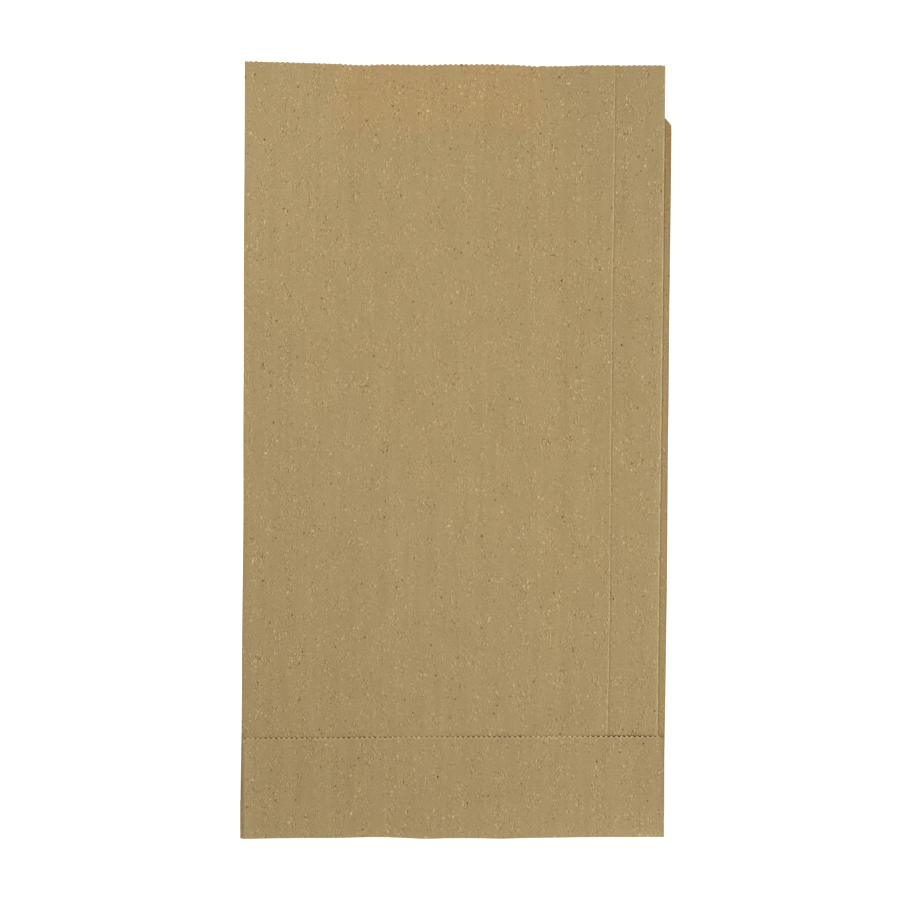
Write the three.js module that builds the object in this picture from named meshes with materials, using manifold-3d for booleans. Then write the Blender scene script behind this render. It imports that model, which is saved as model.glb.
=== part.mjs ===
// A brown paper lunch bag, pressed flat. One sheet of kraft paper is folded into a gusseted tube, its two
// edges lap and are glued up the front, and the bottom of the tube is turned up over the front and glued.
// Millimetres. X runs across the bag, Y towards its mouth, and Z up from the surface that it lies on.
import * as THREE from "three";
import { mergeVertices } from "three/addons/utils/BufferGeometryUtils.js";
import Module from "manifold-3d";

const wasm = await Module();
wasm.setup();

// The paper, and the spacing of its plies where they lie on each other.
const paper = 0.1;
const plyPitch = 0.2;
const creaseSteps = 4;

// Lengths along the bag, from the axis of the bottom fold.
const mouthHeight = 280; // front edge of the mouth, at the middle of the bag
const lip = 22.2; // how far the front stands above the back at the mouth
const flapHeight = 35.5; // free edge of the turned-up bottom
const mouthSlope = -0.0145; // the mouth was cut a little out of square with the bottom fold
const foldSlope = 0.0048; // the bottom fold lies a little out of line with X
const bendSteps = 8;

// Lengthwise lines: x at the mouth and x at the bottom fold.
const frontLeft = { mouth: -76.6, foot: -78.2 };
const frontRight = { mouth: 75.9, foot: 72.5 };
const backLeft = { mouth: -76.2, foot: -77.5 };
const backRight = { mouth: 78.4, foot: 75.5 };
const innerLeft = { mouth: -42, foot: -42.6 };
const innerRight = { mouth: 40.3, foot: 38.9 };
const seamEdge = { mouth: 57.6, foot: 54.9 };
const lapEdge = { mouth: 31.6, foot: 30.9 }; // hidden edge of the lap, under the seam panel
const lapClimb = 2; // width over which the seam panel climbs onto the lap

// Saw-tooth cuts. The sheet is first made oversize by trim, then the blades trim it.
const toothPitch = 1.905;
const toothDepth = 0.6;
const trim = 0.5;
const bladeWidth = 168;
const bladeDepth = 3;

// Glue: a strip in the lap and a strip under the flap, each from the middle of one ply to that of the other.
const seamGlue = { left: 35, right: 52, bottom: 6, top: 274 };
const flapGlue = { left: -70, right: 68, bottom: 21, top: 32 };

// Heights of the plies: back, lower gussets, upper gussets, front, and seam panel over the lap.
const level = (ply) => paper / 2 + ply * plyPitch;
const [back, lowerGusset, upperGusset, front, overLap] = [0, 1, 2, 3, 4];
const bendAxis = level(overLap) + paper;

// The knife that parts one bag from the next leaves the same outline at both ends, so the flap's inner
// plies stop a lip's height short of its free edge. Past them the outer ply settles onto the front.
const innerHeight = flapHeight - lip;
const settleStart = innerHeight + 0.5;
const settleEnd = innerHeight + 4;
const settleDrop = 0.8;
const rowGap = 0.02; // spacing of rows that bunch up where a ply stops short

// A station is one lengthwise line of the sheet: its place in the tube's cross-section, the way its outer
// face points, and shortness, 0 where the ply is cut as the front is and 1 where it is cut as the back is.
const flat = (line, offset, ply, up, shortness) => ({
  line,
  offset,
  z: level(ply),
  normal: [0, up],
  shortness,
});

// A lengthwise fold from one ply to the next: side is 1 where it bulges to the right and -1 to the left.
function crease(line, side, from, to, shortness) {
  const down = Math.sign(from - to);
  const radius = plyPitch / 2;
  const inset = side * (radius + paper / 2);
  const middle = (level(from) + level(to)) / 2;
  return Array.from({ length: creaseSteps + 1 }, (_, i) => {
    const angle = (Math.PI * i) / creaseSteps;
    return {
      line,
      offset: side * radius * Math.sin(angle) - inset,
      z: middle + down * radius * Math.cos(angle),
      normal: [down * Math.sin(angle), side * Math.cos(angle)],
      shortness,
    };
  });
}

// The slanting cut across a lower gusset ply, from full height down to the back's cut edge at its crease.
const slant = (line, side) =>
  [0, (settleStart - innerHeight) / lip, (settleEnd - innerHeight) / lip].map((shortness) =>
    flat(line, -side * lip * (1 - shortness), lowerGusset, 1, shortness),
  );

const stations = [
  flat(lapEdge, 0, front, 1, 0),
  ...crease(frontRight, 1, front, upperGusset, 0),
  ...crease(innerRight, -1, upperGusset, lowerGusset, 0),
  ...slant(backRight, 1),
  ...crease(backRight, 1, lowerGusset, back, 1),
  ...crease(backLeft, -1, back, lowerGusset, 1),
  ...slant(backLeft, -1).reverse(),
  ...crease(innerLeft, 1, lowerGusset, upperGusset, 0),
  ...crease(frontLeft, -1, upperGusset, front, 0),
  flat(lapEdge, -2 * lapClimb, front, 1, 0),
  flat(lapEdge, -lapClimb, overLap, 1, 0),
  flat(seamEdge, 0, overLap, 1, 0),
];

// Rows across the sheet, from the mouth round the bottom fold to the flap's free edge. Each gives how far
// a station's point is from the fold's axis, and how far round the fold it has turned.
const footReach = (station) => innerHeight + station.shortness * lip + (station.shortness === 1 ? trim : 0);
const rows = [
  (station) => ({
    reach:
      mouthHeight + mouthSlope * (station.line.mouth + station.offset) - station.shortness * lip + trim,
    turn: 0,
  }),
  ...Array.from({ length: bendSteps + 1 }, (_, i) => () => ({ reach: 0, turn: (Math.PI * i) / bendSteps })),
  (station) => ({ reach: Math.min(settleStart, footReach(station) - 2 * rowGap), turn: Math.PI }),
  (station) => ({ reach: Math.min(settleEnd, footReach(station) - rowGap), turn: Math.PI }),
  (station) => ({ reach: footReach(station), turn: Math.PI }),
];

const settle = (reach) =>
  settleDrop * THREE.MathUtils.clamp((reach - settleStart) / (settleEnd - settleStart), 0, 1);

// Where the sheet's point at a station and row comes to lie, side being 0.5 on its outer face, -0.5 inside.
function foldedPoint(station, row, side) {
  const { reach, turn } = row(station);
  const lean = turn > 0 ? 0 : reach / mouthHeight;
  const x =
    THREE.MathUtils.lerp(station.line.foot, station.line.mouth, lean) +
    station.offset +
    side * paper * station.normal[0];
  const radius = bendAxis - (station.z + side * paper * station.normal[1]);
  const y = foldSlope * x + reach - radius * Math.sin(turn);
  const drop = turn === Math.PI ? settle(reach) : 0;
  return [x, y, bendAxis - radius * Math.cos(turn) - drop];
}

// The sheet: a slab with a grid of columns and rows, each vertex moved to its folded place.
function foldedSheet() {
  const columns = stations.length - 1;
  const steps = rows.length - 1;
  const sheet = new THREE.BoxGeometry(1, 1, 1, columns, steps, 1);
  const position = sheet.attributes.position;
  for (let i = 0; i < position.count; i++) {
    const station = stations[Math.round((position.getX(i) + 0.5) * columns)];
    const row = rows[Math.round((0.5 - position.getY(i)) * steps)];
    position.setXYZ(i, ...foldedPoint(station, row, position.getZ(i)));
  }
  return sheet;
}

// A blade whose lower edge is a saw-tooth line across the bag, cutting all that lies between two heights.
function sawBlade(height, slope, low, high) {
  const teeth = Math.ceil(bladeWidth / toothPitch);
  const outline = new THREE.Shape();
  outline.moveTo((-teeth * toothPitch) / 2, height + bladeDepth);
  for (let i = 0; i <= 2 * teeth; i++) {
    const x = ((i - teeth) * toothPitch) / 2;
    outline.lineTo(x, height + slope * x + (i % 2 ? 0.5 : -0.5) * toothDepth);
  }
  outline.lineTo((teeth * toothPitch) / 2, height + bladeDepth);
  const blade = new THREE.ExtrudeGeometry(outline, { depth: high - low, bevelEnabled: false });
  return blade.translate(0, 0, low);
}

function glueStrip({ left, right, bottom, top }, low, high) {
  const strip = new THREE.BoxGeometry(right - left, top - bottom, high - low);
  return strip.translate((left + right) / 2, (bottom + top) / 2, (low + high) / 2);
}

function solid(geometry) {
  const bare = geometry.index ? geometry.toNonIndexed() : geometry.clone();
  bare.deleteAttribute("normal");
  bare.deleteAttribute("uv");
  const merged = mergeVertices(bare, 1e-3);
  return new wasm.Manifold(
    new wasm.Mesh({
      numProp: 3,
      vertProperties: merged.attributes.position.array,
      triVerts: new Uint32Array(merged.index.array),
    }),
  );
}

function geometryOf(body) {
  const { vertProperties, triVerts } = body.getMesh();
  const geometry = new THREE.BufferGeometry();
  geometry.setAttribute("position", new THREE.BufferAttribute(vertProperties, 3));
  geometry.setIndex(new THREE.BufferAttribute(triVerts, 1));
  return geometry;
}

function bagGeometry() {
  const below = -1;
  const above = 2 * bendAxis + 1;
  const betweenBackAndGusset = (level(back) + level(lowerGusset)) / 2;
  const mouthLine = mouthSlope + foldSlope;
  const settledFlap = 2 * bendAxis - level(back) - settleDrop;
  const bag = solid(foldedSheet())
    .subtract(solid(sawBlade(mouthHeight, mouthLine, below, above)))
    .subtract(solid(sawBlade(mouthHeight - lip, mouthLine, below, betweenBackAndGusset)))
    .subtract(solid(sawBlade(flapHeight, foldSlope, bendAxis, above)))
    .add(solid(glueStrip(seamGlue, level(front), level(overLap))))
    .add(solid(glueStrip(flapGlue, level(front), settledFlap)));
  return geometryOf(bag);
}

// The origin is under the middle of the bag, on the surface that it lies on.
const geometry = bagGeometry();
geometry.computeBoundingBox();
const middle = geometry.boundingBox.getCenter(new THREE.Vector3());
geometry.translate(-middle.x, -middle.y, -geometry.boundingBox.min.z);
const flatGeometry = geometry.toNonIndexed();
flatGeometry.computeVertexNormals();

const kraft = new THREE.MeshStandardMaterial({ color: 0xaa9469, roughness: 0.85, metalness: 0 });
const bag = new THREE.Mesh(flatGeometry, kraft);
bag.name = "paper_bag";

const group = new THREE.Group();
group.add(bag);
export default group;
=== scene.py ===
import math

import bmesh
import bpy
import numpy as np
from mathutils import Matrix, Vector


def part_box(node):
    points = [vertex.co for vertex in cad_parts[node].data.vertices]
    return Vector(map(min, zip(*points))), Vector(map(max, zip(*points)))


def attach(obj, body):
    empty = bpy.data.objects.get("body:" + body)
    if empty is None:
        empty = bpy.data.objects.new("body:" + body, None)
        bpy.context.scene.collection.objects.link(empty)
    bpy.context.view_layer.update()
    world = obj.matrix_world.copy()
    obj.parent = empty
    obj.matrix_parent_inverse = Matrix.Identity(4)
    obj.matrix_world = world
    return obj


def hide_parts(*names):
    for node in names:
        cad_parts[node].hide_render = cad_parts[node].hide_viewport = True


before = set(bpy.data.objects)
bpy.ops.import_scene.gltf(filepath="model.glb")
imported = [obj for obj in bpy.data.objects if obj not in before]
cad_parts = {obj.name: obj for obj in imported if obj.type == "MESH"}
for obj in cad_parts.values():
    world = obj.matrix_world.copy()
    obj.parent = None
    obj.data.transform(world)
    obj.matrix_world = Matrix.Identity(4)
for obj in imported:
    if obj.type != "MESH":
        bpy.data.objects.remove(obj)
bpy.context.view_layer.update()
bagLow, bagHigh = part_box("paper_bag")

mm = 0.001
left = bagLow.x / mm  # the flat bag's sides and ends, in millimetres like every size below
right = bagHigh.x / mm
foot = bagLow.y / mm
top = bagHigh.y / mm
mouthAt = 280  # distance of the mouth from the bottom fold
flapAt = -36  # and of the flap's free edge, the other way
away = 99.0  # far from any edge or seam


def throughPoints(points):
    # a smooth curve of one variable through a few given points, level past its ends
    xs, ys = np.array(points, float).T
    slopes = np.gradient(ys, xs)

    def curve(x):
        x = np.clip(x, xs[0], xs[-1])
        i = np.clip(np.searchsorted(xs, x) - 1, 0, len(xs) - 2)
        step = xs[i + 1] - xs[i]
        t = (x - xs[i]) / step
        ease = t * t * (3 - 2 * t)
        start = t * (1 - t) ** 2 * step
        end = t * t * (t - 1) * step
        return ys[i] * (1 - ease) + ys[i + 1] * ease + slopes[i] * start + slopes[i + 1] * end

    return curve


def ease(x, start, end):
    t = np.clip((x - start) / (end - start), 0, 1)
    return t * t * (3 - 2 * t)


def wave(x, pitch):
    # a triangle wave from -1 to 1, with a peak at 0
    return 4 * np.abs((x / pitch) % 1 - 0.5) - 1


bag = {
    "paper": 0.1,
    "pressedPitch": 0.115,  # spacing of the plies where they are pressed together
    "loosePitch": 0.19,  # spacing of the plies in the body
    "looseFrom": 9,  # distance from the bottom fold at which they have spread
    "looseSide": 6,  # and from a side fold
    "lip": 22.2,  # how far the front stands above the back at the mouth
    "toothPitch": 1.905,
    "mouthTooth": 0.52,
    "flapTooth": 0.74,
    "toothWander": 0.35,  # how unequal the teeth are
    "creaseSteps": 6,
    "bendSteps": 8,
    "coarse": 1.905,  # column spacing in the gussets
    "middleSag": 0.28,  # how far the front sinks between the gussets
    "springLeft": 0.22,  # how far the side folds spring up
    "springRight": 0.10,
    "springReach": 4.5,
    "ridge": 0.08,  # ridge over a gusset's inner fold
    "ridgeReach": 1.5,
    "lapClimb": 1.8,
    "seamCurl": 0.05,
    "seamCurlReach": 0.5,
    "arch": 0.42,  # how far the turned-up bottom bulges above its fold
    "archReach": 3.0,
    "archEnd": 10,
    "edgeCurl": 0.05,
    "edgeCurlReach": 0.6,
    "billow": 0.30,
    "foldHighlight": 0.14,  # painted highlight: paler paper towards the right fold, which springs up towards the light
    "topLeftLight": 0.06,  # painted light: paler top left corner
    "stripShadeLine": 0.12,  # painted shade: dark line along the back's right fold
    "leftShadeLine": 0.14,  # painted shade: dark line along the left fold, towards the bottom
    "sliver": 0.27,  # shade on the plies that show beside the flap
    "flapHighlight": (0.04, 0.1),  # painted highlight: paler flap towards its fold, which turns towards the light: at its left, and at its right
    "innerShade": 0.04,
    "seed": 7,
}

# Lengthwise lines: distance from the bottom fold (below 0 on the turned-up flap), and place across the bag.
lines = {
    "frontLeft": [(-36, left), (10, left), (17, left + 0.05), (26, left + 0.2), (48, left + 0.5),
                  (70, left + 0.58), (90, left + 0.8), (124, left + 1.08), (140, left + 1.03),
                  (175, left + 1.16), (212, left + 1.18), (245, left + 1.43), (280, left + 1.54)],
    "backLeft": [(-36, left + 0.8), (0, left + 0.75), (280, left + 2.0)],
    "innerLeft": [(-36, left + 35.6), (0, left + 35.6), (280, left + 36.2)],
    "lapEdge": [(-36, right - 47.3), (0, right - 47.3), (280, right - 46.6)],
    "innerRight": [(-36, right - 39.3), (0, right - 39.3), (280, right - 37.9)],
    "seamEdge": [(-36, right - 23.4), (0, right - 23.4), (36, right - 23.1), (86, right - 22.2),
                 (121, right - 22.0), (158, right - 21.6), (200, right - 21.2), (230, right - 20.7),
                 (280, right - 20.25)],
    "frontRight": [(-36, right - 5.3), (0, right - 5.3), (36, right - 4.85), (86, right - 4.28),
                   (140, right - 3.57), (202, right - 2.8), (257, right - 2.3), (280, right - 2.1)],
    "backRight": [(-36, right - 2.62), (-24, right - 2.7), (-13, right - 2.72), (0, right - 2.65),
                  (14, right - 2.47), (25, right - 2.46), (36, right - 2.32), (48, right - 2.12),
                  (68, right - 1.83), (90, right - 1.5), (140, right - 1.12), (165, right - 0.82),
                  (180, right - 0.72), (205, right - 0.42), (256, right + 0.12), (280, right + 0.2)],
}
lines = {name: throughPoints(points) for name, points in lines.items()}

# Crosswise lines: place across the bag, and place along it.
mouthLine = throughPoints([(-77, top - 0.05), (-60, top - 0.5), (-46, top - 0.9), (-41, top - 1.07),
                           (-34, top - 1.36), (-24, top - 1.04), (-14, top - 1.32), (0, top - 1.1),
                           (13, top - 1.08), (24, top - 1.42), (31, top - 1.88), (36, top - 1.83),
                           (41, top - 1.8), (47, top - 1.54), (53, top - 1.56), (59, top - 1.62),
                           (65, top - 1.58), (71, top - 1.53), (77, top - 1.62)])
bottomLine = throughPoints([(-78, foot + 0.02), (-57, foot + 0.34), (-44, foot + 0.35), (-31, foot + 0.68),
                            (-24, foot + 0.62), (-18, foot + 0.37), (-12, foot + 0.1), (-3, foot + 0.27),
                            (10, foot + 0.24), (16, foot + 0.13), (23, foot + 0.28), (33, foot + 0.47),
                            (45, foot + 0.63), (52, foot + 0.68), (62, foot + 0.68), (76, foot + 0.76)])
flapLine = throughPoints([(-77, foot + 36.6), (-40, foot + 36.8), (-6, foot + 37.05), (22, foot + 37.12),
                          (36, foot + 37.3), (52, foot + 37.32), (64, foot + 37.32), (77, foot + 37.25)])
flapLift = throughPoints([(-77, 0.04), (-60, 0.08), (-40, 0.07), (-26, 0.02), (-7, 0.02), (8, 0.07),
                          (24, 0.06), (36, 0.02), (49, 0.04), (58, 0.13), (70, 0.13), (76, 0.04)])
# strength of the painted shadow in the flap's notches, across the bag
flapShade = throughPoints([(-77, 0.3), (-70, 0.65), (-60, 0.6), (-48, 0.35), (-38, 0.75), (-30, 0.6),
                           (-22, 0.25), (-7, 0.25), (4, 0.6), (22, 0.55), (31, 0.25), (45, 0.4), (56, 1.4),
                           (68, 1.3), (71, 0.6), (74, 0.15)])


def level(ply, distance, aside=away):
    # height of the middle of a ply's paper: 0 back, 1 lower gusset, 2 upper gusset, 3 front, 4 over the lap
    loose = ease(distance, 0, bag["looseFrom"]) * ease(aside, 0, bag["looseSide"])
    pitch = bag["pressedPitch"] + (bag["loosePitch"] - bag["pressedPitch"]) * loose
    return bag["paper"] / 2 + np.minimum(ply, 3) * pitch + np.maximum(ply - 3, 0) * bag["pressedPitch"]


bendHeight = float(level(4, 0)) + 0.07


def panel(part, start, end, ply, shortness, step, teeth=0, inset=0, extra=(), extraStart=()):
    # stations across one panel, on the tooth grid of the tube at its mouth
    a, b = (float(lines[name](mouthAt)) for name in (start, end))
    way = 1 if b > a else -1
    lowEnd, highEnd = min(a, b) + inset, max(a, b) - inset
    marks = np.arange(math.ceil(lowEnd / step), math.floor(highEnd / step) + 1) * step
    marks = sorted([*marks, *(b - way * e for e in extra), *(a + way * e for e in extraStart)],
                   reverse=way < 0)
    return [
        {"part": part, "start": start, "end": end, "share": (m - a) / (b - a), "offset": 0, "ply": ply,
         "shortness": shortness(abs(m - a), abs(m - b)), "teeth": teeth, "mark": m}
        for m in marks
    ]


def crease(part, line, side, first, last, shortness, teeth=0):
    # stations round a lengthwise fold, side 1 where it bulges to the right and -1 to the left
    radius = bag["loosePitch"] / 2
    made = []
    for i in range(bag["creaseSteps"] + 1):
        angle = math.pi * i / bag["creaseSteps"]
        offset = side * (radius * math.sin(angle) - radius - bag["paper"] / 2)
        ply = (first + last) / 2 + (first - last) / 2 * math.cos(angle)
        made.append({"part": part, "start": line, "end": line, "share": 0, "offset": offset, "ply": ply,
                     "shortness": shortness, "teeth": teeth, "mark": float(lines[line](mouthAt)) + offset})
    return made


def edgeStation(part, line, offset, ply, teeth=1):
    return {"part": part, "start": line, "end": line, "share": 0, "offset": offset, "ply": ply,
            "shortness": 0, "teeth": teeth, "mark": float(lines[line](mouthAt)) + offset}


def makeStations():
    fine = bag["toothPitch"] / 2
    coarse = bag["coarse"]
    uncut = lambda fromStart, fromEnd: 0
    whole = lambda fromStart, fromEnd: 1
    slantOut = lambda fromStart, fromEnd: max(0, 0.96 - fromEnd / bag["lip"])
    slantIn = lambda fromStart, fromEnd: max(0, 1 - fromStart / bag["lip"])
    edge = 0.45
    return [
        edgeStation("lap", "lapEdge", 0, 3, teeth=0),
        *panel("lap", "lapEdge", "seamEdge", 3, uncut, coarse, inset=edge),
        *panel("lap", "seamEdge", "frontRight", 3, uncut, fine, teeth=1, inset=edge + 0.3,
               extra=(0.75, 0.42, 0.25)),
        *crease("rightFold", "frontRight", 1, 3, 2, 0, teeth=1),
        *panel("upperGusset", "frontRight", "innerRight", 2, uncut, coarse, inset=edge),
        *crease("gussetFold", "innerRight", -1, 2, 1, 0),
        *panel("strip", "innerRight", "backRight", 1, slantOut, coarse, inset=edge, extra=(0.9,)),
        *crease("strip", "backRight", 1, 1, 0, 0.975),
        *panel("back", "backRight", "backLeft", 0, whole, fine, teeth=1, inset=edge),
        *crease("backFold", "backLeft", -1, 0, 1, 1),
        *panel("lowerGusset", "backLeft", "innerLeft", 1, slantIn, coarse, inset=edge),
        *crease("gussetFold", "innerLeft", 1, 1, 2, 0),
        *panel("upperGusset", "innerLeft", "frontLeft", 2, uncut, coarse, inset=edge),
        *crease("leftFold", "frontLeft", -1, 2, 3, 0, teeth=1),
        *panel("front", "frontLeft", "lapEdge", 3, uncut, fine, teeth=1, inset=edge, extraStart=(0.3,)),
        *panel("seamPanel", "lapEdge", "seamEdge", 4, uncut, fine, teeth=1, inset=edge, extra=(0.95,)),
        edgeStation("seamPanel", "seamEdge", -0.45, 4),
        edgeStation("seamPanel", "seamEdge", -0.2, 4),
        edgeStation("seamPanel", "seamEdge", 0, 4),
    ]


def bodyRows():
    # distances from the mouth, close together at the cut edge, where the lip ends and at the bottom fold
    near = [0, 0.3, 0.7, 1.3, 2.3, 4, 6.5, 10, 14, 18, 20.5, 22.5, 25, 29]
    far = [mouthAt - d for d in (22, 17, 13, 10, 7.5, 5.5, 4, 2.7, 1.6, 0.7)]
    return [*near, *np.linspace(35, mouthAt - 28, 38), *far]


def flapRows():
    # distances from the flap's free edge, as shares of its height, from the fold to the edge
    return [0.03, 0.07, 0.12, 0.18, 0.26, 0.36, 0.47, 0.58, 0.69, 0.79, 0.87, 0.925, 0.958, 0.978, 0.990, 1]


class FoldedSheet:
    # works out where each station of each row of the sheet comes to lie
    def __init__(self):
        self.stations = makeStations()
        get = lambda key: np.array([station[key] for station in self.stations], float)
        self.part = np.array([station["part"] for station in self.stations])
        self.share = get("share")
        self.offset = get("offset")
        self.ply = get("ply")
        self.shortness = get("shortness")
        self.mark = get("mark")
        chance = np.random.default_rng(bag["seed"])
        wander = chance.uniform(-1, 1, 400) * bag["toothWander"]
        tooth = np.round(self.mark / bag["toothPitch"] * 2).astype(int)
        saw = wave(self.mark, bag["toothPitch"]) * get("teeth")
        self.mouthBite = saw * (1 + wander[tooth % 400]) * bag["mouthTooth"] / 2
        self.flapBite = np.where(self.part == "back", saw, 0) * bag["flapTooth"] / 2

    def across(self, distance):
        starts = np.array([lines[s["start"]](d) for s, d in zip(self.stations, distance)])
        ends = np.array([lines[s["end"]](d) for s, d in zip(self.stations, distance)])
        return starts + (ends - starts) * self.share + self.offset

    def billow(self, x, y, distance):
        # the slight waves that the whole stack lies in
        swell = np.sin(x / 23 + y / 61 + 0.6) + 0.8 * np.sin(x / 41 - y / 37 + 2.1)
        swell = swell + 0.5 * np.sin(y / 19 + x / 90)
        return bag["billow"] * (0.5 + swell / 4.6) * ease(distance, 3, 40)

    def aside(self, x, d):
        # distance from the nearer side fold
        return np.maximum(np.minimum(x - lines["frontLeft"](d), lines["frontRight"](d) - x), 0)

    def sag(self, x, d):
        falling = ease(x, lines["innerLeft"](d) - 3, lines["innerLeft"](d) + 16)
        climbing = ease(x, lines["innerRight"](d) - 12, lines["innerRight"](d) + 1)
        return falling * (1 - climbing) * ease(d, 0, 14)

    def rise(self, x, d):
        # how far the front and the plies folded from it stand above their level
        ridges = sum(np.exp(-(((x - at) / bag["ridgeReach"]) ** 2))
                     for at in (lines["innerLeft"](d) - 0.6, lines["innerRight"](d) - 0.4))
        spring = bag["springLeft"] * np.exp(-np.abs(x - lines["frontLeft"](d)) / bag["springReach"])
        spring += bag["springRight"] * np.exp(-np.abs(x - lines["frontRight"](d)) / bag["springReach"])
        climb = ease(x, lines["lapEdge"](d) - bag["lapClimb"], lines["lapEdge"](d)) * bag["pressedPitch"]
        curl = bag["seamCurl"] * np.exp(-np.abs(lines["seamEdge"](d) - x) / bag["seamCurlReach"])
        isFront = np.clip(self.ply - 2, 0, 1)
        isPair = np.clip(self.ply - 1, 0, 1)
        shape = isFront * (bag["ridge"] * ridges - bag["middleSag"] * self.sag(x, d)) + isPair * spring
        shape += np.where(self.part == "front", climb, 0) + np.where(self.part == "seamPanel", curl, 0)
        return shape * ease(d, 0, 14)

    def grip(self, cut):
        # how far the rows near a cut edge follow its teeth
        return np.interp(cut, [0, 0.3, 0.7, 1.3, 2.3], [1, 0.85, 0.5, 0.15, 0])

    def body(self, fromMouth):
        # one row of the body, fromMouth in millimetres on a full-length ply
        fraction = 1 - fromMouth / mouthAt
        guess = self.across(np.full(len(self.stations), mouthAt * fraction))
        axis = bottomLine(guess) + bendHeight
        cut = mouthLine(guess) - self.shortness * bag["lip"]
        distance = (cut - axis) * fraction
        x = self.across(distance)
        distance = distance + self.mouthBite * self.grip(fromMouth)
        y = axis + distance
        z = level(self.ply, distance, self.aside(x, distance)) + self.rise(x, distance)
        place = np.stack([x, y, z + self.billow(x, y, distance)], axis=1)
        return place, distance, np.full(len(x), float(fromMouth))

    def bend(self, angle):
        x = self.across(np.zeros(len(self.stations)))
        radius = bendHeight - level(self.ply, 0)
        axis = bottomLine(x) + bendHeight
        place = np.stack([x, axis - radius * math.sin(angle), bendHeight - radius * math.cos(angle)], axis=1)
        return place, -radius * angle, np.full(len(x), away)

    def flap(self, portion):
        # one row of the turned-up bottom, portion 0 at its fold and 1 at each ply's cut edge
        guess = self.across(np.full(len(self.stations), -30.0))
        axis = bottomLine(guess) + bendHeight
        outer = flapLine(guess) - axis
        edge = outer * (1 - portion)
        reach = (outer - (1 - self.shortness) * bag["lip"]) * portion
        x = self.across(-reach)
        reach = reach + self.flapBite * self.grip(edge)
        arch = 2 * bendHeight - bag["paper"] / 2 + bag["arch"] * (1 - np.exp(-reach / bag["archReach"]))
        onLap = (x > lines["lapEdge"](reach)) & (x < lines["seamEdge"](reach))
        front = level(3, reach, self.aside(x, reach)) + onLap * bag["pressedPitch"]
        front = front - 0.8 * bag["middleSag"] * self.sag(x, reach) + self.billow(x, axis + reach, reach)
        settled = front + bag["pressedPitch"] + flapLift(x)
        settled = settled + bag["pressedPitch"] * (1 - ease(self.aside(x, reach), 1, 5))
        curl = bag["edgeCurl"] * np.exp(-edge / bag["edgeCurlReach"]) * (self.ply == 0)
        z = arch + (settled - arch) * ease(reach, bag["archEnd"], 34) ** 0.8 + curl
        place = np.stack([x, axis + reach, z - bag["pressedPitch"] * self.ply], axis=1)
        bendLength = math.pi * (bendHeight - level(self.ply, 0))
        return place, -reach - bendLength, edge

    def flapMarks(self, place, inFlap):
        # distance beyond the flap's free edge, place in its row of teeth, and shade in its notches
        x, y = place[:, 0], place[:, 1]
        toothRow = "backLeft", "backRight"
        mouthEnds, flapEnds = ([float(lines[name](at)) for name in toothRow] for at in (mouthAt, flapAt))
        tooth = np.interp(x, flapEnds, mouthEnds) / bag["toothPitch"]
        top = np.isin(self.part, ("front", "seamPanel", "lap", "leftFold", "rightFold", "strip"))
        if inFlap:
            tooth = np.where(self.part == "back", self.mark / bag["toothPitch"], tooth)
            kind = np.where(self.part == "back", -1.0, 0.0)
        else:
            kind = np.where(top, flapShade(x), 0.0)
        return y - flapLine(x), tooth, kind

    def marks(self, place):
        # per station of a body row: painted light through the lip's single ply, painted shade on the side
        # strip, painted highlights and shade, and the distances from the seam and from the right fold
        x, y = place[:, 0], place[:, 1]
        d = y - bottomLine(x) - bendHeight
        top = np.isin(self.part, ("front", "seamPanel", "lap", "leftFold", "rightFold"))
        cutBack = mouthLine(x) - bag["lip"]
        # painted light shining through the lip's single ply, which makes it warmer
        bare = ease(y, cutBack - 2.4, cutBack + 1) * ease(x, -44.5, -41.5) * (1 - ease(x, 30, 31.4))
        toEdge = lines["backRight"](d) - x
        strip = (self.part == "strip") & (toEdge < 6)
        # painted shade: the side strip darker and browner, most towards the mouth
        brown = strip * (0.35 + 0.65 * ease(d, 190, 262))
        toRight = lines["frontRight"](d) - x
        toLeft = x - lines["frontLeft"](d)
        # painted highlights and shade: paler by the right fold and at the top left, darker lines by the left
        # fold, the right gusset's inner fold and the strip's edge, and on the plies beside the flap
        paintedShading = bag["foldHighlight"] * np.exp(-np.abs(toRight) / 3.0)
        paintedShading = paintedShading + bag["topLeftLight"] * (1 - ease(toLeft, 20, 50)) * ease(d, 170, 270)
        paintedShading = paintedShading - bag["leftShadeLine"] * (1 - ease(toLeft, 0.3, 0.9)) * (1 - ease(d, 50, 190))
        paintedShading = paintedShading - bag["sliver"] * (toLeft < 3) * (d < 36.5)
        paintedShading = paintedShading - bag["innerShade"] * np.exp(-(((x - lines["innerRight"](d)) / 1.2) ** 2))
        paintedShading = paintedShading * top - bag["stripShadeLine"] * strip * (toEdge < 0.3)
        fromSeam = np.where(top, x - lines["seamEdge"](d), away)
        fromFold = np.where(top, toRight + 0.3 * ease(d, 250, 262), away)
        return bare * top, brown, paintedShading, fromSeam, fromFold

    def flapPaintedShading(self, place):
        # the same for a row of the flap: painted highlights towards its folds, painted shade on the plies
        # beside it
        x, y = place[:, 0], place[:, 1]
        d = y - bottomLine(x) - bendHeight
        toLeft = x - lines["backLeft"](-d)
        leftHighlight, rightHighlight = bag["flapHighlight"]
        paintedShading = (leftHighlight + (rightHighlight - leftHighlight) * ease(x, 10, 50)) * np.clip(1 - d / 40, 0, 1)
        # painted highlights along the flap's left fold and its bottom fold, and painted shade on the plies
        # beside the flap
        paintedShading = paintedShading + 0.13 * ease(toLeft, 0, 0.3) * (1 - ease(toLeft, 1.5, 5))
        paintedShading = paintedShading + (1 - ease(d, -0.6, 4)) * (0.03 + 0.09 * ease(x, 50, 62))
        paintedShading = np.where(self.part == "back", paintedShading, -bag["sliver"] * (toLeft < 3))
        nowhere = np.full(len(x), away)
        return 0 * x, 0 * x, paintedShading, nowhere, nowhere


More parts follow.
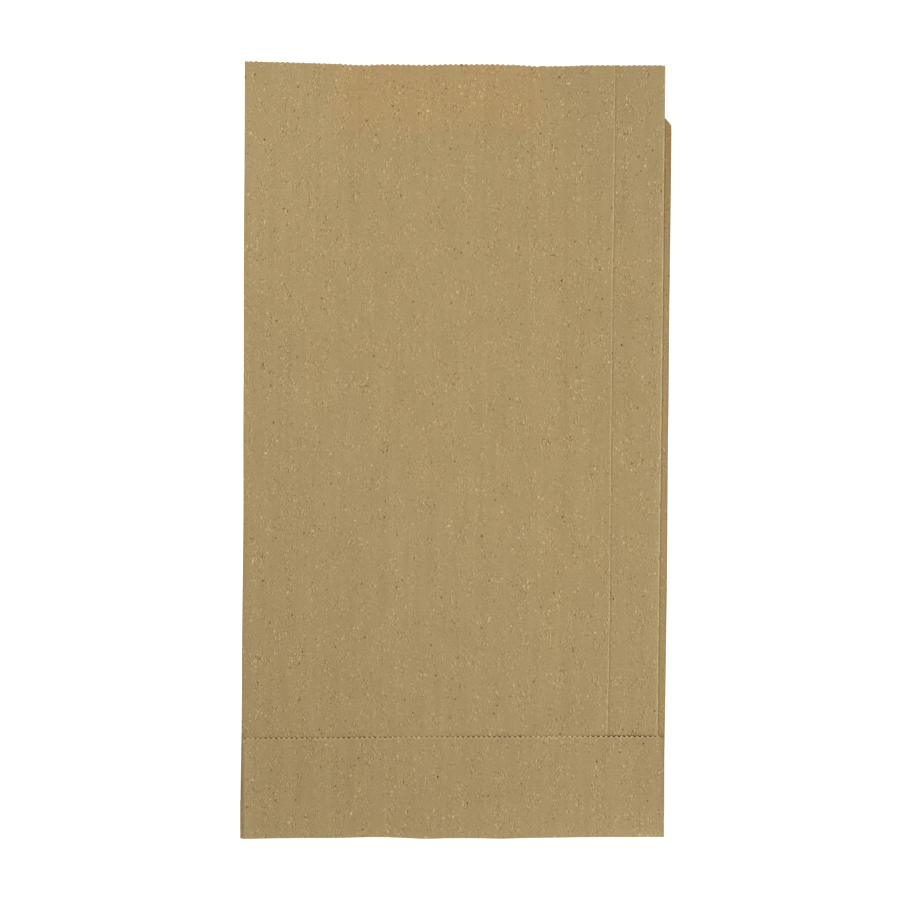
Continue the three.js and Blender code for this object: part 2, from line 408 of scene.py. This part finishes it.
def makeBag():
    sheet = FoldedSheet()
    rows = [sheet.body(d) for d in bodyRows()]
    bodyCount = len(rows)
    rows += [sheet.bend(math.pi * i / bag["bendSteps"]) for i in range(bag["bendSteps"] + 1)]
    rows += [sheet.flap(portion) for portion in flapRows()]
    middle = rows[40][0]
    steps = np.hypot(np.diff(middle[:, 0]), np.diff(middle[:, 2]))
    around = np.concatenate([[0], np.cumsum(steps)])
    columns = len(sheet.stations)
    toSeam = np.where(sheet.part == "seamPanel", around[-1] - around, away)
    toSeam = np.where(sheet.part == "lap", around, toSeam)
    marks = [sheet.marks(place) for place, _, _ in rows[:bodyCount]]
    marks += [sheet.flapPaintedShading(place) for place, _, _ in rows[bodyCount:]]
    flapMarks = [sheet.flapMarks(place, i >= bodyCount) for i, (place, _, _) in enumerate(rows)]

    mesh = bmesh.new()
    bmesh.ops.create_grid(mesh, x_segments=columns - 1, y_segments=len(rows) - 1, size=0.5)
    sheetPlace = mesh.verts.layers.float_vector.new("sheetPlace")
    sheetState = mesh.verts.layers.float_vector.new("sheetState")
    # painted light and shade per vertex: light through the lip, shade on the strip, highlights and shade by
    # the folds and edges
    sheetTint = mesh.verts.layers.float_vector.new("sheetTint")
    flapEdge = mesh.verts.layers.float_vector.new("flapEdge")
    for vert in mesh.verts:
        column = round((vert.co.x + 0.5) * (columns - 1))
        row = round((vert.co.y + 0.5) * (len(rows) - 1))
        place, along, cut = (part[column] for part in rows[row])
        bare, brown, paintedShading, fromSeam, fromFold = (part[column] for part in marks[row])
        vert.co = place * mm
        vert[sheetPlace] = (around[column] * mm, along * mm, 0)
        vert[sheetState] = (min(cut, toSeam[column], 9), fromSeam, fromFold)
        vert[sheetTint] = (bare, brown, paintedShading)
        vert[flapEdge] = tuple(part[column] for part in flapMarks[row])
    for edge in mesh.edges:
        edge.smooth = not edge.is_boundary
    for face in mesh.faces:
        face.smooth = True
    data = bpy.data.meshes.new("paperBagSheet")
    mesh.to_mesh(data)
    mesh.free()
    piece = bpy.data.objects.new("paperBagSheet", data)
    bpy.context.scene.collection.objects.link(piece)
    thickness = piece.modifiers.new("paperThickness", "SOLIDIFY")
    thickness.thickness = bag["paper"] * mm
    thickness.offset = 0
    print("bag sheet:", columns, "columns,", len(rows), "rows,", round(float(around[-1]), 1), "mm around")
    return piece


class Wire:
    # one output of a material's node, which Python's arithmetic feeds into Math nodes
    def __init__(self, tree, socket=None):
        self.tree = tree
        self.socket = socket

    def node(self, kind, settings=None, inputs=None, output=0):
        made = self.tree.nodes.new("ShaderNode" + kind)
        for name, value in (settings or {}).items():
            if name == "stops":
                while len(made.color_ramp.elements) < len(value):
                    made.color_ramp.elements.new(1)
                for element, (position, colour) in zip(made.color_ramp.elements, value):
                    element.position = position
                    element.color = (*colour, 1)
            else:
                setattr(made, name, value)
        for name, value in (inputs or {}).items():
            if isinstance(value, Wire):
                self.tree.links.new(value.socket, made.inputs[name])
            else:
                made.inputs[name].default_value = value
        return Wire(self.tree, made.outputs[output])

    def math(self, operation, *values, clamp=False):
        return self.node("Math", {"operation": operation, "use_clamp": clamp}, dict(enumerate(values)))

    def __add__(self, other):
        return self.math("ADD", self, other)

    __radd__ = __add__

    def __sub__(self, other):
        return self.math("SUBTRACT", self, other)

    def __rsub__(self, other):
        return self.math("SUBTRACT", other, self)

    def __mul__(self, other):
        return self.math("MULTIPLY", self, other)

    __rmul__ = __mul__

    def __truediv__(self, other):
        return self.math("DIVIDE", self, other)

    def __rtruediv__(self, other):
        return self.math("DIVIDE", other, self)

    def __abs__(self):
        return self.math("ABSOLUTE", self)

    def clamped(self):
        return self.math("ADD", self, 0, clamp=True)


def newMaterial(name):
    material = bpy.data.materials.new(name)
    material.use_nodes = True
    tree = material.node_tree
    tree.nodes.clear()
    return material, Wire(tree)


def finishMaterial(wire, shader):
    output = wire.tree.nodes.new("ShaderNodeOutputMaterial")
    wire.tree.links.new(shader.socket, output.inputs["Surface"])


def colourOf(code):
    # a linear colour from red, green and blue of 0 to 255 as a screen shows them
    return tuple(c / 255 / 12.92 if c <= 10 else ((c / 255 + 0.055) / 1.055) ** 2.4 for c in code)


kraft = {
    "dark": (146, 122, 77),
    "light": (194, 170, 125),
    "fibre": 1.3,
    "brownFibre": 1.12,
    "grain": 0.82,
    "fleck": 1.1,
    "smallFleck": 0.5,
    "speck": 1.7,
    "smallSpeck": 0.7,
    "mottle": 0.2,
    "streak": 0.16,
    "cutEdge": 0.35,
    # painted shadow in the flap's notches and just beyond its free edge: its colour, width and a broad faint
    # shade
    "creviceShadow": (0.27, 0.19, 0.06),
    "creviceWidth": 0.6,
    "broadCreviceShade": 0.08,
    # pale cut edge and painted highlight along the flap's teeth
    "toothRim": 0.45,
    "toothPaleEdgeAndHighlight": 1.0,
    "foldHighlightLine": 0.48,  # painted highlight: paler line along the lit ridge of the right fold
    # pale cut edge and painted highlight along the seam's raised edge, and painted shade beside it
    "seamPaleEdgeAndHighlight": 0.19,
    "seamShade": 0.11,
    # painted light shining through the lip's single ply
    "bare": (1.06, 1.008, 0.955),
    # painted shade on the side strip
    "brown": (0.88, 0.78, 0.64),
    "pink": (1.008, 0.995, 1.0),
    "green": (0.992, 1.003, 0.988),
    "roughness": 0.88,
    "relief": 0.05,
}


def kraftPaper():
    material, wire = newMaterial("kraftPaper")
    place = wire.node("Attribute", {"attribute_name": "sheetPlace"}, output="Vector")
    state = wire.node("Attribute", {"attribute_name": "sheetState"}, output="Vector")
    paintedLightAndShade = wire.node("Attribute", {"attribute_name": "sheetTint"}, output="Vector")
    flapEdge = wire.node("Attribute", {"attribute_name": "flapEdge"}, output="Vector")
    place = wire.node("VectorMath", {"operation": "SCALE"}, {0: place, "Scale": 1 / mm})
    cutEdge, fromSeam, fromFold = (wire.node("SeparateXYZ", {}, {0: state}, output=axis) for axis in "XYZ")
    bare, brownStrip, paintedShading = (wire.node("SeparateXYZ", {}, {0: paintedLightAndShade}, output=axis) for axis in "XYZ")

    def noise(vector, scale, detail=0.0, roughness=0.5):
        return wire.node("TexNoise", {"noise_dimensions": "2D"},
                         {"Vector": vector, "Scale": scale, "Detail": detail, "Roughness": roughness},
                         output="Fac")

    def mapped(vector, scale, location=(0, 0, 0), turn=0.0):
        return wire.node("Mapping", {"vector_type": "POINT"},
                         {"Vector": vector, "Scale": scale, "Location": location, "Rotation": (0, 0, turn)})

    def warped(vector, scale, amount):
        push = wire.node("TexNoise", {"noise_dimensions": "2D"},
                         {"Vector": vector, "Scale": scale, "Detail": 1.0}, output="Color")
        push = wire.node("VectorMath", {"operation": "SUBTRACT"}, {0: push, 1: (0.5, 0.5, 0.5)})
        push = wire.node("VectorMath", {"operation": "SCALE"}, {0: push, "Scale": amount})
        return wire.node("VectorMath", {"operation": "ADD"}, {0: vector, 1: push})

    busy = (noise(mapped(place, (1, 0.7, 1), (3, 8, 0)), 0.2, 1.0) * 3.6 - 1.15).clamped()

    def fibres(number, nudge=0.0):
        # thin curly lines, mostly lengthwise and broken into short lengths
        shifted = mapped(place, (1, 1, 1), (13.7 * number + nudge, 7.3 * number, 0), 0.12 * (number - 1))
        curly = warped(shifted, 0.9, 1.5)
        ridge = 1 - abs(noise(mapped(curly, (1.0, 0.46, 1.0)), 1.0) - 0.5) * 24
        broken = (noise(shifted, 0.9) - 0.53) * 9
        return ridge.clamped() * broken.clamped()

    def spots(scale, size, number):
        # round spots, one in each cell of the given number to a millimetre
        spread = mapped(warped(place, 1.7, 0.5), (1, 0.7, 1), (5.3 * number, 9.1 * number, 0))
        cells = wire.node("TexVoronoi", {"feature": "F1", "voronoi_dimensions": "2D"},
                          {"Vector": spread, "Scale": scale}, output="Distance")
        return (1 - cells / (size * scale)).clamped()

    pale = fibres(0)
    for number in (1, 2):
        pale = pale.math("MAXIMUM", pale, fibres(number))
    brown = fibres(3)
    for number in (0, 1):
        brown = brown.math("MAXIMUM", brown, fibres(number, 0.3))
    pale = pale * busy
    brown = brown * busy
    grain = noise(mapped(place, (1.0, 0.45, 1.0)), 3.8, 1.0, 0.6) - 0.5
    mottle = noise(mapped(place, (1.0, 0.5, 1.0)), 0.12, 2.5, 0.65) - 0.5
    streak = noise(mapped(place, (1.0, 0.03, 1.0)), 0.5, 1.5) - 0.5
    tone = 0.5 + grain * kraft["grain"]
    tone = tone + (pale - 0.08) * kraft["fibre"] - (brown - 0.06) * kraft["brownFibre"]
    tone = tone + mottle * kraft["mottle"] + streak * kraft["streak"]
    tone = tone + spots(0.08, 0.38, 1) * kraft["fleck"] + spots(0.2, 0.32, 2) * kraft["smallFleck"]
    tone = tone - spots(0.06, 0.35, 3) * kraft["speck"] - spots(0.17, 0.3, 4) * kraft["smallSpeck"]
    # paler cut edges, then the painted highlights and shade carried by the sheet
    tone = tone + (1 - cutEdge / 0.45).clamped() * kraft["cutEdge"] + paintedShading
    # painted highlights along the right fold's lit ridge and the seam's raised edge, which also has a pale
    # cut edge; painted shade beside the seam
    highlightPatchiness = noise(mapped(place, (1, 0.16, 1), (9, 31, 0)), 0.7, 1.5) * 2.2 - 0.1
    tone = tone + (1.2 - abs(fromFold - 0.2) / 0.42).clamped() * highlightPatchiness * kraft["foldHighlightLine"]
    tone = tone + (1.15 - abs(fromSeam + 0.2) / 0.36).clamped() * highlightPatchiness * kraft["seamPaleEdgeAndHighlight"]
    tone = tone - (1.2 - abs(fromSeam - 0.4) / 0.45).clamped() * kraft["seamShade"]

    # painted shadow in the flap's notches and a faint one beyond its free edge, and a pale cut edge with a
    # painted highlight along its teeth
    beyond, tooth, kind = (wire.node("SeparateXYZ", {}, {0: flapEdge}, output=axis) for axis in "XYZ")
    saw = abs(tooth.math("FRACT", tooth) - 0.5) * 4 - 1
    beyond = beyond - saw * (bag["flapTooth"] / 2)
    onFront = kind.math("MAXIMUM", kind, 0)
    onFlap = (0 - kind).clamped()
    uneven = noise(mapped(place, (1, 0.2, 1), (70, 0, 0)), 0.7, 1.0) * 2.4 - 0.2
    notch = (0.4 - saw * 0.85).clamped() * 0.92 + 0.08
    creviceShadow = ((1 - beyond / kraft["creviceWidth"]) * 1.6).clamped() * onFront * notch * uneven * 1.9
    # pale cut edge and painted highlight along the flap's teeth
    rim = (1 - abs(beyond) / kraft["toothRim"]).clamped() * (saw * 0.4 + 0.7)
    tone = tone + rim * onFlap * uneven * kraft["toothPaleEdgeAndHighlight"]
    tone = tone - (1 - abs(beyond) / 3.0).clamped() * onFront * kraft["broadCreviceShade"]

    def multiplied(colour, by, factor):
        return wire.node("Mix", {"data_type": "RGBA", "blend_type": "MULTIPLY"},
                         {0: factor, 6: colour, 7: (*by, 1)}, output=2)

    dark, light = (*colourOf(kraft["dark"]), 1), (*colourOf(kraft["light"]), 1)
    colour = wire.node("Mix", {"data_type": "RGBA", "clamp_factor": False},
                       {0: tone, 6: dark, 7: light}, output=2)
    hue = noise(mapped(place, (1, 1, 1), (40, 20, 0)), 0.16, 2.0)
    colour = multiplied(colour, kraft["pink"], (hue * 3 - 1).clamped())
    colour = multiplied(colour, kraft["green"], (2 - hue * 3).clamped())
    # painted light through the lip, painted shade on the side strip and in the flap's notches
    colour = multiplied(colour, kraft["bare"], bare)
    colour = multiplied(colour, kraft["brown"], brownStrip)
    colour = multiplied(colour, kraft["creviceShadow"], creviceShadow.clamped())
    bump = wire.node("Bump", {}, {"Strength": 1.0, "Distance": kraft["relief"] * mm, "Height": grain})
    shader = wire.node("BsdfPrincipled", {}, {"Base Color": colour, "Roughness": kraft["roughness"],
                                               "Specular IOR Level": 0.25, "Normal": bump})
    finishMaterial(wire, shader)
    return material


stage = {
    "floorSize": 8.0,
    "floorDrop": 0.15 * mm,  # keeps the floor clear of the underside
    "floorColour": (0.95, 0.95, 0.95),
    "floorGlow": 0.55,
    "world": 0.2,
    "keyStrength": 1.86,
    "keyHeight": 25,  # degrees above the floor
    "keyFrom": 222,  # degrees round from +X
    "keySpread": 24,
    # soft boxes: place over the bag, height, power and side length
    "boxes": {"farBox": ((-0.08, 0.17), 0.35, 0.69, 0.3), "nearBox": ((0.12, -0.11), 0.30, 0.37, 0.25)},
    "cameraLens": 100,
    "cameraHeight": 0.907,
    "cameraAside": (-2.09 * mm, 0.09 * mm),
}


def makeFloor():
    mesh = bmesh.new()
    bmesh.ops.create_grid(mesh, x_segments=1, y_segments=1, size=stage["floorSize"] / 2)
    data = bpy.data.meshes.new("floor")
    mesh.to_mesh(data)
    mesh.free()
    data.transform(Matrix.Translation((0, 0, -stage["floorDrop"])))
    floor = bpy.data.objects.new("floor", data)
    bpy.context.scene.collection.objects.link(floor)
    material, wire = newMaterial("whiteTable")
    shader = wire.node("BsdfPrincipled", {}, {
        "Base Color": (*stage["floorColour"], 1), "Roughness": 0.9, "Specular IOR Level": 0.0,
        "Emission Color": (1, 1, 1, 1), "Emission Strength": stage["floorGlow"]})
    finishMaterial(wire, shader)
    floor.data.materials.append(material)
    print("floor made")


def makeLight():
    world = bpy.data.worlds.new("softRoom")
    bpy.context.scene.world = world
    world.use_nodes = True
    background = world.node_tree.nodes["Background"]
    background.inputs["Color"].default_value = (1, 1, 1, 1)
    background.inputs["Strength"].default_value = stage["world"]
    lamp = bpy.data.lights.new("key", "SUN")
    lamp.energy = stage["keyStrength"]
    lamp.angle = math.radians(stage["keySpread"])
    key = bpy.data.objects.new("key", lamp)
    key.rotation_euler = (0, math.radians(90 - stage["keyHeight"]), math.radians(stage["keyFrom"]))
    bpy.context.scene.collection.objects.link(key)
    for name, (place, height, power, side) in stage["boxes"].items():
        soft = bpy.data.lights.new(name, "AREA")
        soft.energy = power
        soft.size = side
        box = bpy.data.objects.new(name, soft)
        box.location = (*place, height)
        box.visible_camera = False
        bpy.context.scene.collection.objects.link(box)
    print("light made")


def makeCamera():
    lens = bpy.data.cameras.new("camera")
    lens.lens = stage["cameraLens"]
    lens.sensor_width = 36
    lens.clip_start = 0.01
    camera = bpy.data.objects.new("camera", lens)
    middle = (bagLow + bagHigh) / 2
    camera.location = (middle.x + stage["cameraAside"][0], middle.y + stage["cameraAside"][1],
                       stage["cameraHeight"] + mm)
    bpy.context.scene.collection.objects.link(camera)
    bpy.context.scene.camera = camera
    bpy.context.scene.view_settings.view_transform = "Standard"
    print("camera made")


makeCamera()
makeFloor()
makeLight()
sheetPiece = makeBag()
sheetPiece.data.materials.append(kraftPaper())
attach(sheetPiece, "root")
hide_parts("paper_bag")
